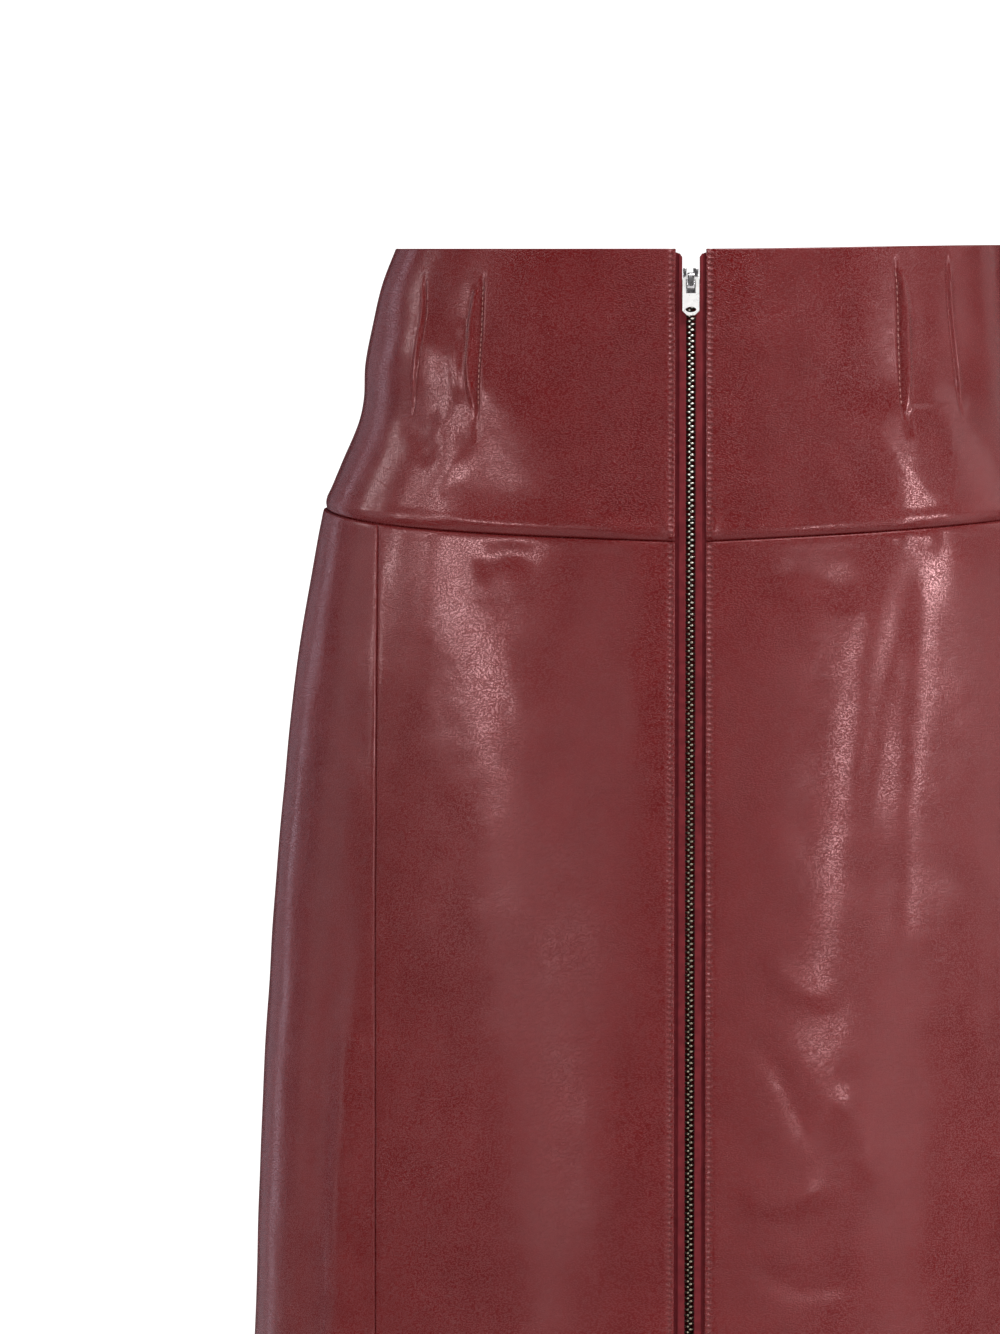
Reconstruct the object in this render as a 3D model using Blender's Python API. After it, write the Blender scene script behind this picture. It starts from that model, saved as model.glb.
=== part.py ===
"""A high-waisted leather skirt with a full-length front zip, for Blender 4.5.

The skirt keeps the hollow form of a worn garment. Units are metres and +Z is up. The waist edge
lies at z = 0, the front faces -Y, and left and right are the wearer's, so left is +X.
A turn is an angle round the waist in radians: 0 at the centre front and positive to the left.
"""

import math
from collections import namedtuple

import bmesh
import bpy
from mathutils import Matrix, Vector

# ---- driving sizes ----
LENGTH = 0.720  # waist edge to hem, at the front
WALL = 0.0014  # leather with its pressed seam allowance
SEAM_GAP = 0.0003  # clearance that stands for a closed seam
LEFT_RISE = 0.0015  # how far the waist edge rises towards the left side
BACK_DIP = 0.014  # how far the waist edge drops at the centre back
YOKE_SIDE = 0.1135  # depth of the yoke at the side seam
YOKE_POINT = 0.0104  # how much deeper the yoke is at the centre
YOKE_SLANT = {"left": 0.72, "right": 0.45}  # share of that point that falls in a straight line
PANEL_SEAM_X = 0.135  # the side-front and side-back seams run straight down here

ZIP_EDGE = 0.0065  # centre line to the front edge of a panel
TAPE_EDGE_CLOSED = 0.0019  # centre line to a tape's edge where the teeth mesh
TAPE_EDGE_OPEN = 0.0037  # and above the slider
TAPE_OUTER = 0.0150  # a tape's far edge, hidden behind the panel
TAPE_THICK = 0.0010
TAPE_TOP = 0.0022  # tape ends this far below the waist edge
TAPE_BOTTOM = 0.7190
CHAIN_HALF = 0.0016
CHAIN_TOP = 0.0144
CHAIN_BOTTOM = 0.7120
CHAIN_DEPTH = 0.0030
CHAIN_SINK = 0.0007  # the teeth's front face lies this far under the leather's face

# Slider, in its own frame: across the zip, up along it, and out from the leather's face
SLIDER_DROP = 0.0163
SLIDER_HALF = 0.0034
SLIDER_RISE = 0.0040
PLATE_BACK, PLATE_FRONT = -0.0004, 0.0006
NOSE_TOP = 0.0058
BRIDGE_HALF, BRIDGE_LOW = 0.00165, -0.0012
BRIDGE_UNDER, BRIDGE_FRONT = 0.0023, 0.0031
LEG = 0.0010
FLANGE = 0.0008
WEDGE_HALF, WEDGE_LOW = 0.0011, 0.0022
EASED = 0.0002  # bevel of the slider's edges

# Pull tab, from the middle of its top bar
PIVOT_UP, PIVOT_OUT = 0.0033, 0.00145
TAB_HALF, TAB_THICK = 0.003575, 0.0011
TAB_TOP, TAB_BOTTOM = 0.0005, -0.0159
TAB_CHAMFER = 0.0019
WINDOW_HALF, WINDOW_LOW = 0.0020, -0.0065
HOLE_DROP, HOLE_HALF, HOLE_RISE = -0.0135, 0.0023, 0.0012

# ---- the form: one row for each level below the waist edge ----
Section = namedtuple("Section", "drop left_half right_half front_depth back_depth")
SECTIONS = [
    Section(0.000, 0.1385, 0.1294, 0.0950, 0.0900),
    Section(0.016, 0.1395, 0.1355, 0.0985, 0.0935),
    Section(0.033, 0.1410, 0.1395, 0.1020, 0.0980),
    Section(0.051, 0.1430, 0.1430, 0.1054, 0.1030),
    Section(0.066, 0.1437, 0.1437, 0.1080, 0.1070),
    Section(0.077, 0.1461, 0.1461, 0.1098, 0.1105),
    Section(0.095, 0.1536, 0.1536, 0.1125, 0.1160),
    Section(0.113, 0.1606, 0.1606, 0.1150, 0.1210),
    Section(0.130, 0.1646, 0.1646, 0.1172, 0.1250),
    Section(0.157, 0.1694, 0.1694, 0.1202, 0.1300),
    Section(0.201, 0.1756, 0.1756, 0.1240, 0.1350),
    Section(0.289, 0.1837, 0.1837, 0.1295, 0.1380),
    Section(0.385, 0.1893, 0.1893, 0.1340, 0.1400),
    Section(0.477, 0.1926, 0.1926, 0.1375, 0.1415),
    Section(0.720, 0.2010, 0.2010, 0.1450, 0.1450),
]

# ---- stitched tucks of the front yoke: x to the left, drops below the waist edge ----
Tuck = namedtuple("Tuck", "x_top x_low drop_top drop_low height")
TUCKS = [
    Tuck(0.0886, 0.0896, 0.018, 0.066, 0.0021),
    Tuck(0.1101, 0.1145, 0.008, 0.065, 0.0019),
    Tuck(-0.0892, -0.0901, 0.018, 0.066, 0.0023),
    Tuck(-0.1141, -0.1167, 0.016, 0.065, 0.0016),
]
TUCK_CREST = 0.0042  # from the stitched line to the crest of the roll outside it
TUCK_SPREAD = 0.0026
TUCK_FADE = 0.016  # length over which a roll rises and dies away

# ---- largest folds: a ridge, or a trough where the height is negative ----
Fold = namedtuple("Fold", "face x_top drop_top x_low drop_low spread height")
FOLDS = [
    Fold("front", -0.1350, 0.225, -0.1640, 0.820, 0.010, 0.0030),
    Fold("front", -0.1440, 0.240, -0.1780, 0.820, 0.009, -0.0022),
    Fold("front", 0.1360, 0.250, 0.1600, 0.820, 0.011, 0.0024),
    Fold("front", 0.1460, 0.270, 0.1740, 0.820, 0.009, -0.0018),
    Fold("front", 0.0810, 0.125, 0.0540, 0.345, 0.010, 0.0016),
    Fold("front", 0.1060, 0.125, 0.0880, 0.300, 0.009, 0.0014),
    Fold("front", 0.0960, 0.122, 0.0790, 0.200, 0.009, -0.0012),
    Fold("front", -0.0860, 0.118, -0.0560, 0.460, 0.020, 0.0014),
    Fold("back", 0.1370, 0.240, 0.1620, 0.820, 0.011, 0.0026),
    Fold("back", -0.1370, 0.210, -0.1600, 0.820, 0.010, 0.0028),
    Fold("back", 0.0560, 0.200, 0.0780, 0.560, 0.018, 0.0018),
    Fold("back", -0.0620, 0.180, -0.0740, 0.480, 0.016, -0.0016),
]
FOLD_FADE = 0.28  # share of a fold's length over which it rises and dies away

# ---- grids ----
YOKE_ROWS = 13
PANEL_ROWS = 21
STRIP_ROWS = 34
ROW_CROWD = 1.2  # above 1, a grid's rows lie closer together near its top
TUCK_ZONE = (0.082, 0.126)  # the yoke's columns lie closer together between these x


def fade(share):
    """Rise from 0 to 1 with level ends."""
    share = min(max(share, 0.0), 1.0)
    return share * share * (3 - 2 * share)


def form(column, drop):
    """A column of SECTIONS at any drop, on a smooth curve through its rows."""
    last = len(SECTIONS) - 1
    low = max(i for i in range(last) if i == 0 or SECTIONS[i].drop <= drop)

    def slope(i):
        before, after = SECTIONS[max(i - 1, 0)], SECTIONS[min(i + 1, last)]
        return (getattr(after, column) - getattr(before, column)) / (after.drop - before.drop)

    start, end = SECTIONS[low], SECTIONS[low + 1]
    step = end.drop - start.drop
    t = (drop - start.drop) / step
    value = getattr(start, column) * (1 + 2 * t) * (1 - t) ** 2
    value += getattr(end, column) * t * t * (3 - 2 * t)
    return value + step * t * (1 - t) * (slope(low) * (1 - t) - slope(low + 1) * t)


def plain_point(turn, z):
    """A point of the outer face before tucks and folds."""
    width = form("left_half" if math.sin(turn) > 0 else "right_half", -z)
    depth = form("front_depth" if math.cos(turn) > 0 else "back_depth", -z)
    return Vector((width * math.sin(turn), -depth * math.cos(turn), z))


def outward(turn, z):
    """The outer face's direction, from the points around."""
    step = 0.001
    across = plain_point(turn + step, z) - plain_point(turn - step, z)
    up = plain_point(turn, z + step) - plain_point(turn, z - step)
    return across.cross(up).normalized()


def turn_at(x, z, face="front"):
    """The turn of the vertical line at x on the front or back."""
    width = form("left_half" if x > 0 else "right_half", -z)
    turn = math.asin(max(-1.0, min(1.0, x / width)))
    return turn if face == "front" else math.pi - turn


def metres_per_turn(turn, z):
    step = 0.001
    return (plain_point(turn + step, z) - plain_point(turn - step, z)).length / (2 * step)


def distance(turn, z, x, face):
    """How far round the skirt a turn lies from the line at x, positive to the left."""
    centre = turn_at(x, z, face)
    apart = (turn - centre + math.pi) % (2 * math.pi) - math.pi
    return apart * metres_per_turn(centre, z)


def tuck_height(turn, z):
    """The puffed roll on the outer side of each stitched tuck."""
    height = 0.0
    for tuck in TUCKS:
        along = (-z - tuck.drop_top) / (tuck.drop_low - tuck.drop_top)
        x = tuck.x_top + (tuck.x_low - tuck.x_top) * along
        away = distance(turn, z, x, "front") * math.copysign(1.0, x) - TUCK_CREST
        ends = fade((-z - tuck.drop_top) / TUCK_FADE + 0.25) * fade((tuck.drop_low + z) / TUCK_FADE + 0.25)
        height += tuck.height * ends * math.exp(-((away / TUCK_SPREAD) ** 2))
    return height


def fold_height(turn, z):
    height = 0.0
    for fold in FOLDS:
        along = (-z - fold.drop_top) / (fold.drop_low - fold.drop_top)
        if 0 < along < 1:
            x = fold.x_top + (fold.x_low - fold.x_top) * along
            away = distance(turn, z, x, fold.face)
            ends = fade(along / FOLD_FADE) * fade((1 - along) / FOLD_FADE)
            height += fold.height * ends * math.exp(-((away / fold.spread) ** 2))
    return height


def leather_point(turn, z):
    """A point of the outer face with its tucks and folds."""
    raised = tuck_height(turn, z) + fold_height(turn, z)
    return plain_point(turn, z) + outward(turn, z) * raised


def waist_z(turn):
    """The waist edge rises a little towards the left side and dips towards the centre back."""
    side = LEFT_RISE * fade(math.sin(turn))
    back = fade(-math.cos(turn))
    return side * (1 - back) - BACK_DIP * back


def yoke_z(turn):
    """The seam below the yoke, with a shallow point at the centre front and back."""
    across = abs(math.sin(turn))
    slant = YOKE_SLANT["left" if math.sin(turn) > 0 else "right"]
    return -YOKE_SIDE - YOKE_POINT * (1 - slant * across) * (1 - across**5) ** 0.6


# ---- materials ----
def material(name, colour, roughness, metallic=0.0):
    made = bpy.data.materials.new(name)
    made.use_nodes = True
    shader = made.node_tree.nodes["Principled BSDF"]
    shader.inputs["Base Color"].default_value = (*colour, 1.0)
    shader.inputs["Roughness"].default_value = roughness
    shader.inputs["Metallic"].default_value = metallic
    return made


# ---- cloth ----
def sheet(name, columns, rows, place, thick, finish):
    """A wall on a grid: place gives the outer face's point for each column and row number."""
    mesh = bpy.data.meshes.new(name)
    bm = bmesh.new()
    bmesh.ops.create_grid(bm, x_segments=columns, y_segments=rows, size=0.5)
    for i, vert in enumerate(bm.verts):
        row, column = divmod(i, columns + 1)
        vert.co = place(column, rows - row)
    bm.to_mesh(mesh)
    bm.free()
    mesh.shade_smooth()
    mesh.materials.append(finish)
    piece = bpy.data.objects.new(name, mesh)
    bpy.context.collection.objects.link(piece)
    wall = piece.modifiers.new("wall", "SOLIDIFY")
    wall.thickness = thick
    wall.offset = -1.0
    wall.use_even_offset = True
    return piece


def shares(count, crowd=0.0):
    """Shares from 0 to 1, closer together near both ends where crowd is above 0."""
    even = [i / count for i in range(count + 1)]
    return [t - crowd * math.sin(2 * math.pi * t) / (2 * math.pi) for t in even]


def gap_turn(turn, z):
    """Half a seam's gap as a turn."""
    return SEAM_GAP / 2 / metres_per_turn(turn, z)


def yoke_front(name, side, finish):
    """One half of the front yoke, from the zip to the side seam, with two tucks."""
    inner, tucked, outer = 6, 17, 5
    columns = inner + tucked + outer

    def turn_of(column, z):
        marks = [abs(turn_at(side * x, z)) for x in (ZIP_EDGE, *TUCK_ZONE)]
        marks.append(math.pi / 2 - gap_turn(math.pi / 2, z))
        if column <= inner:
            low, share = 0, column / inner
        elif column <= inner + tucked:
            low, share = 1, (column - inner) / tucked
        else:
            low, share = 2, (column - inner - tucked) / outer
        return marks[low] + (marks[low + 1] - marks[low]) * share

    def place(column, row):
        column = column if side > 0 else columns - column
        turn, z = side * turn_of(column, 0.0), 0.0
        for _ in range(3):  # the seam's height and the turn there depend on each other
            z = waist_z(turn) + (yoke_z(turn) - waist_z(turn)) * row / YOKE_ROWS
            turn = side * turn_of(column, z)
        return leather_point(turn, z)

    return sheet(name, columns, YOKE_ROWS, place, WALL, finish)


def yoke_back(finish):
    columns = 22

    def place(column, row):
        share = 2 * column / columns - 1
        turn = math.pi + share * math.pi / 2
        top, low = waist_z(turn), yoke_z(turn)
        z = top + (low - top) * row / YOKE_ROWS
        return leather_point(turn - share * gap_turn(turn, z), z)

    return sheet("yoke_back", columns, YOKE_ROWS, place, WALL, finish)


def panel_edges(name, z):
    """The turns of a lower panel's two edges at a height, the lower turn first."""
    front, seam = turn_at(ZIP_EDGE, z), turn_at(PANEL_SEAM_X, z)
    gap = gap_turn(seam, z)
    return {
        "front_left": (front, seam - gap),
        "side_left": (seam + gap, math.pi - seam - gap),
        "back": (math.pi - seam + gap, math.pi + seam - gap),
        "side_right": (seam + gap - math.pi, -seam - gap),
        "front_right": (gap - seam, -front),
    }[name]


def lower_panel(name, columns, crowd, finish):
    """A panel from the yoke seam to the hem."""
    across = shares(columns, crowd)

    def place(column, row):
        z = -YOKE_SIDE
        for _ in range(4):  # the seam's height and the turn there depend on each other
            low, high = panel_edges(name, z)
            turn = low + (high - low) * across[column]
            top = yoke_z(turn) - SEAM_GAP
            z = top - (LENGTH + top) * (row / PANEL_ROWS) ** ROW_CROWD
        return leather_point(turn, z)

    return sheet(name, columns, PANEL_ROWS, place, WALL, finish)


def strip(name, inner, outer, top, bottom, sunk, thick, columns, finish):
    """A strip along the zip, its face sunk under the leather's. inner and outer are x at a drop."""

    def place(column, row):
        drop = top + (bottom - top) * (row / STRIP_ROWS) ** ROW_CROWD
        x = inner(drop) + (outer(drop) - inner(drop)) * column / columns
        turn = turn_at(x, -drop)
        return plain_point(turn, -drop) - outward(turn, -drop) * sunk

    return sheet(name, columns, STRIP_ROWS, place, thick, finish)


def tape_inner(drop):
    """A tape's inner edge, spread above the slider."""
    open_share = fade((SLIDER_DROP + 0.0035 - drop) / 0.006)
    return TAPE_EDGE_CLOSED + (TAPE_EDGE_OPEN - TAPE_EDGE_CLOSED) * open_share


def tape(name, side, finish):
    edges = (tape_inner, lambda drop: TAPE_OUTER)
    if side < 0:
        edges = (lambda drop: -TAPE_OUTER, lambda drop: -tape_inner(drop))
    sunk = WALL + SEAM_GAP
    return strip(name, *edges, TAPE_TOP, TAPE_BOTTOM, sunk, TAPE_THICK, 3, finish)


def zip_chain(finish):
    edges = (lambda drop: -CHAIN_HALF, lambda drop: CHAIN_HALF)
    return strip("zip_chain", *edges, CHAIN_TOP, CHAIN_BOTTOM, CHAIN_SINK, CHAIN_DEPTH, 1, finish)


# ---- zip hardware ----
def zip_frame(drop):
    """Axes at the centre front: across the zip, up along it, and out from the leather's face."""
    out = outward(0.0, -drop)
    across = Vector((1, 0, 0))
    axes = Matrix((across, out.cross(across), out)).transposed()
    return Matrix.Translation(plain_point(0.0, -drop)) @ axes.to_4x4()


def block(name, low, high, frame, finish=None, bevel=0.0):
    """A box between two corners in a frame. Without a finish it is a hidden guide."""
    mesh = bpy.data.meshes.new(name)
    bm = bmesh.new()
    bmesh.ops.create_cube(bm, size=1.0)
    size = [b - a for a, b in zip(low, high)]
    middle = [(a + b) / 2 for a, b in zip(low, high)]
    bmesh.ops.scale(bm, vec=size, verts=bm.verts)
    bmesh.ops.translate(bm, vec=middle, verts=bm.verts)
    if bevel:
        bmesh.ops.bevel(
            bm, geom=bm.edges[:], offset=bevel, segments=1, profile=0.5, affect="EDGES", material=-1
        )
    bm.to_mesh(mesh)
    bm.free()
    return put(name, mesh, frame, finish)


def put(name, mesh, frame, finish=None):
    piece = bpy.data.objects.new(name, mesh)
    piece.matrix_world = frame
    bpy.context.collection.objects.link(piece)
    if finish:
        mesh.materials.append(finish)
    else:
        piece.hide_render = True
        piece.display_type = "WIRE"
    return piece


def combine(piece, other, operation):
    change = piece.modifiers.new(other.name, "BOOLEAN")
    change.operation = operation
    change.object = other


def slider(finish):
    """Front and back plates joined by a wedge, with flanges over the tapes and a bridge in front."""
    frame = zip_frame(SLIDER_DROP)
    half, rise, inside = SLIDER_HALF, SLIDER_RISE, (PLATE_BACK + PLATE_FRONT) / 2
    back_front = -CHAIN_SINK - CHAIN_DEPTH - SEAM_GAP
    back_back = back_front - PLATE_FRONT + PLATE_BACK
    body = block("slider", (-half, -rise, PLATE_BACK), (half, rise, PLATE_FRONT), frame, finish, EASED)
    bridge = block(
        "slider_bridge", (-BRIDGE_HALF, BRIDGE_LOW, -EASED), (BRIDGE_HALF, NOSE_TOP, BRIDGE_FRONT), frame
    )
    way = block(
        "slider_way",
        (-half, BRIDGE_LOW + LEG, PLATE_FRONT - EASED / 2),
        (half, NOSE_TOP - LEG, BRIDGE_UNDER),
        frame,
    )
    combine(bridge, way, "DIFFERENCE")
    back = block("slider_back", (-half, -rise, back_back), (half, rise, back_front), frame)
    wedge = block(
        "slider_wedge",
        (-WEDGE_HALF, WEDGE_LOW, (back_back + back_front) / 2),
        (WEDGE_HALF, rise - EASED, inside),
        frame,
    )
    for part in (bridge, back, wedge):
        combine(body, part, "UNION")
    for word, side in (("left", 1), ("right", -1)):
        low_x, high_x = sorted((side * (half - EASED / 2), side * (half - FLANGE)))
        foot = (low_x, EASED - rise, -WALL)
        combine(body, block("flange_" + word, foot, (high_x, 0.0, inside), frame), "UNION")
    return body


def pull_tab(finish):
    """A flat tab that swings on its top bar, with a window for the bridge and an oval eye."""
    frame = zip_frame(SLIDER_DROP) @ Matrix.Translation((0, PIVOT_UP, PIVOT_OUT))
    low, high = (-TAB_HALF, TAB_BOTTOM, -TAB_THICK / 2), (TAB_HALF, TAB_TOP, TAB_THICK / 2)
    tab = block("pull_tab", low, high, frame, finish)
    bm = bmesh.new()
    bm.from_mesh(tab.data)
    for end, width in ((TAB_BOTTOM, TAB_CHAMFER), (TAB_TOP, TAB_CHAMFER / 3)):
        at_end = [e for e in bm.edges if all(abs(v.co.y - end) < SEAM_GAP for v in e.verts)]
        corners = [e for e in at_end if abs(e.verts[0].co.x - e.verts[1].co.x) < SEAM_GAP]
        bmesh.ops.bevel(
            bm, geom=corners, offset=width, segments=1, profile=0.5, affect="EDGES", material=-1
        )
    bm.to_mesh(tab.data)
    bm.free()
    through = TAB_THICK
    window = block(
        "tab_window", (-WINDOW_HALF, WINDOW_LOW, -through), (WINDOW_HALF, -TAB_TOP, through), frame
    )
    combine(tab, window, "DIFFERENCE")
    eye = bpy.data.meshes.new("tab_eye")
    bm = bmesh.new()
    bmesh.ops.create_cone(bm, segments=20, radius1=1.0, radius2=1.0, depth=2 * through, cap_ends=True)
    bmesh.ops.scale(bm, vec=(HOLE_HALF, HOLE_RISE, 1.0), verts=bm.verts)
    bmesh.ops.translate(bm, vec=(0, HOLE_DROP, 0), verts=bm.verts)
    bm.to_mesh(eye)
    bm.free()
    combine(tab, put("tab_eye", eye, frame), "DIFFERENCE")
    return tab


def stop(name, drop, low_x, high_x, height, finish):
    """A clamp on the edge of a tape, or across both at the bottom."""
    frame = zip_frame(drop + height / 2)
    low = (low_x, -height / 2, -CHAIN_SINK - CHAIN_DEPTH)
    high = (high_x, height / 2, -CHAIN_SINK)
    return block(name, low, high, frame, finish, 0.0003)


def build():
    for old in list(bpy.data.objects):
        bpy.data.objects.remove(old, do_unlink=True)
    leather = material("burgundy_leather", (0.150, 0.022, 0.027), 0.42)
    band = material("zip_tape", (0.110, 0.018, 0.022), 0.60)
    teeth = material("antique_brass", (0.30, 0.22, 0.14), 0.38, 1.0)
    nickel = material("nickel", (0.62, 0.60, 0.58), 0.28, 1.0)
    silver = material("bright_nickel", (0.86, 0.85, 0.84), 0.22, 1.0)

    for word, side in (("left", 1), ("right", -1)):
        yoke_front("yoke_front_" + word, side, leather)
        tape("tape_" + word, side, band)
    yoke_back(leather)

    lower_panel("front_left", 12, 0.0, leather)
    lower_panel("front_right", 12, 0.0, leather)
    lower_panel("side_left", 14, 0.6, leather)
    lower_panel("side_right", 14, 0.6, leather)
    lower_panel("back", 18, 0.0, leather)

    zip_chain(teeth)
    slider(nickel)
    pull_tab(silver)
    stop("top_stop_left", 0.0080, 0.0009, 0.0032, 0.0040, nickel)
    stop("top_stop_right", 0.0080, -0.0034, -0.0018, 0.0040, nickel)
    stop("bottom_stop", 0.7124, -0.0016, 0.0016, 0.0040, nickel)


build()
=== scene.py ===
"""The finish of the leather skirt: grained leather, seams, tucks, stitching and a metal zip.

Sizes are in metres and +Z is up. The front faces -Y, and left is the wearer's, +X. Tables of tucks,
creases and stitches are in millimetres, with x to the left and drop below the waist edge. A turn is
an angle round the waist in radians: 0 at the centre front and positive to the left.
"""

import math
from collections import namedtuple

import bmesh
import bpy
import numpy as np
from mathutils import Matrix, Vector


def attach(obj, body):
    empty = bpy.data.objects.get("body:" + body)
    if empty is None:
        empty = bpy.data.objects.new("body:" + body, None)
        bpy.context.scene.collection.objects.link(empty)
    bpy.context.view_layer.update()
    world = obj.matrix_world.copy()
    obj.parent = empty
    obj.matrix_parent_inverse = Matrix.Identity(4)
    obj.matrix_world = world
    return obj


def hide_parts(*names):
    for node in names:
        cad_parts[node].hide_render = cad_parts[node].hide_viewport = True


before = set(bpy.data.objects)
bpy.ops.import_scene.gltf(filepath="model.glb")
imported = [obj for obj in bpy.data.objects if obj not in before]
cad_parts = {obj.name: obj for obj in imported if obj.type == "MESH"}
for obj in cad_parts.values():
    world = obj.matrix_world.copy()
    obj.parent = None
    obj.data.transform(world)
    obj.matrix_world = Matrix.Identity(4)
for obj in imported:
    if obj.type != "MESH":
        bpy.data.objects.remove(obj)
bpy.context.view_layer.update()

MM = 0.001
SIDES = (("left", 1), ("right", -1))

# ---- the skirt's sizes, as in the solids ----
LENGTH = 0.720
SEAM_GAP = 0.00008
LEFT_RISE = 0.0015
BACK_DIP = 0.014
YOKE_SIDE = 0.1135
YOKE_POINT = 0.0104
YOKE_SLANT = {"left": 0.72, "right": 0.45}
PANEL_SEAM_X = 0.135
ZIP_EDGE = 0.0065
TAPE_SUNK = 0.0017
TAPE_TOP, TAPE_BOTTOM = 0.0022, 0.7190
CHAIN_SINK, CHAIN_DEPTH = 0.0007, 0.0030

# ---- slider and stops, in the frame of zip_frame: across, up the zip and out ----
SLIDER_DROP = 0.0163
SLIDER_HALF, SLIDER_RISE = 0.0034, 0.0040
PLATE_BACK, PLATE_FRONT = -0.0004, 0.0006
BACK_BACK, BACK_FRONT = -0.00478, -0.00378
NOSE_TOP = 0.0058
BAIL_HALF, BAIL_LOW, BAIL_FRONT, BAIL_WALL = 0.00165, -0.0012, 0.0031, 0.0008
FLANGE, FLANGE_FOOT = 0.0008, -0.0017
WEDGE_HALF, WEDGE_LOW = 0.0011, 0.0022
STOP_RISE = 0.0040
TOP_STOP_DROP, BOTTOM_STOP_DROP = 0.0080, 0.7124

# ---- tapes, teeth and the stitches beside them ----
PITCH = 0.0024  # from one tooth to the next on the same tape
CHAIN_TOP, CHAIN_BOTTOM = 0.0205, 0.7118
TAPE_EDGE_CLOSED, TAPE_EDGE_OPEN = 0.0019, 0.0037  # open above the slider
BAND_OUTER = 0.0053  # the tape's raised band ends here
BAND_RISE = 0.0009
TAPE_OUTER = 0.0150
TAPE_WALL = 0.0007
TAPE_LINES = (0, 3, 7, 12, 20, 30, 42, 55, 68, 78, 87, 94, 100, 112, 150, 240, 360)  # % of the band
TAPE_ROWS = 260
TOPSTITCH = 0.0017  # from the front edge
STITCH = 0.0024
STITCH_BREAK = 0.0018  # no stitch lies closer to the seam under the yoke

# ---- leather ----
HIDE = 0.00062  # one layer of leather
ROLL = 0.00067  # radius of a folded edge: two layers lie under it
SEAM_ALLOWANCE = 0.009
HEM_ALLOWANCE = 0.030
WAIST_ALLOWANCE = 0.012

Section = namedtuple("Section", "drop left_half right_half front_depth back_depth")
SECTIONS = [
    Section(0.000, 0.1385, 0.1294, 0.0950, 0.0900),
    Section(0.016, 0.1395, 0.1355, 0.0985, 0.0935),
    Section(0.033, 0.1410, 0.1395, 0.1020, 0.0980),
    Section(0.051, 0.1430, 0.1430, 0.1054, 0.1030),
    Section(0.066, 0.1437, 0.1437, 0.1080, 0.1070),
    Section(0.077, 0.1461, 0.1461, 0.1098, 0.1105),
    Section(0.095, 0.1536, 0.1536, 0.1125, 0.1160),
    Section(0.113, 0.1606, 0.1606, 0.1150, 0.1210),
    Section(0.130, 0.1646, 0.1646, 0.1172, 0.1250),
    Section(0.157, 0.1694, 0.1694, 0.1202, 0.1300),
    Section(0.201, 0.1756, 0.1756, 0.1240, 0.1350),
    Section(0.289, 0.1837, 0.1837, 0.1295, 0.1380),
    Section(0.385, 0.1893, 0.1893, 0.1340, 0.1400),
    Section(0.477, 0.1926, 0.1926, 0.1375, 0.1415),
    Section(0.720, 0.2010, 0.2010, 0.1450, 0.1450),
]
DROPS = np.array([s.drop for s in SECTIONS])

# ---- tucks: a lens-shaped fold laid outwards from its stitched line ----
# fold is the width of the laid fold at four places down the tuck.
Tuck = namedtuple("Tuck", "stitched fold rise ditch stitches")
TUCKS = [
    Tuck([(-89.5, 14), (-89.9, 40), (-90.1, 70)], (1.6, 4.5, 4.2, 2.2), 1.6, 1.25, 23),
    Tuck([(-115.0, 14), (-114.4, 34), (-118.4, 68)], (0.7, 1.0, 1.1, 0.9), 0.50, 0.80, 0),
    Tuck([(87.7, 8), (88.7, 22), (89.6, 70)], (1.2, 3.8, 4.0, 2.6), 1.4, 1.2, 22),
    Tuck([(110.3, 5), (110.9, 26), (115.4, 70)], (0.7, 1.4, 1.5, 0.9), 0.55, 0.80, 0),
]

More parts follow.
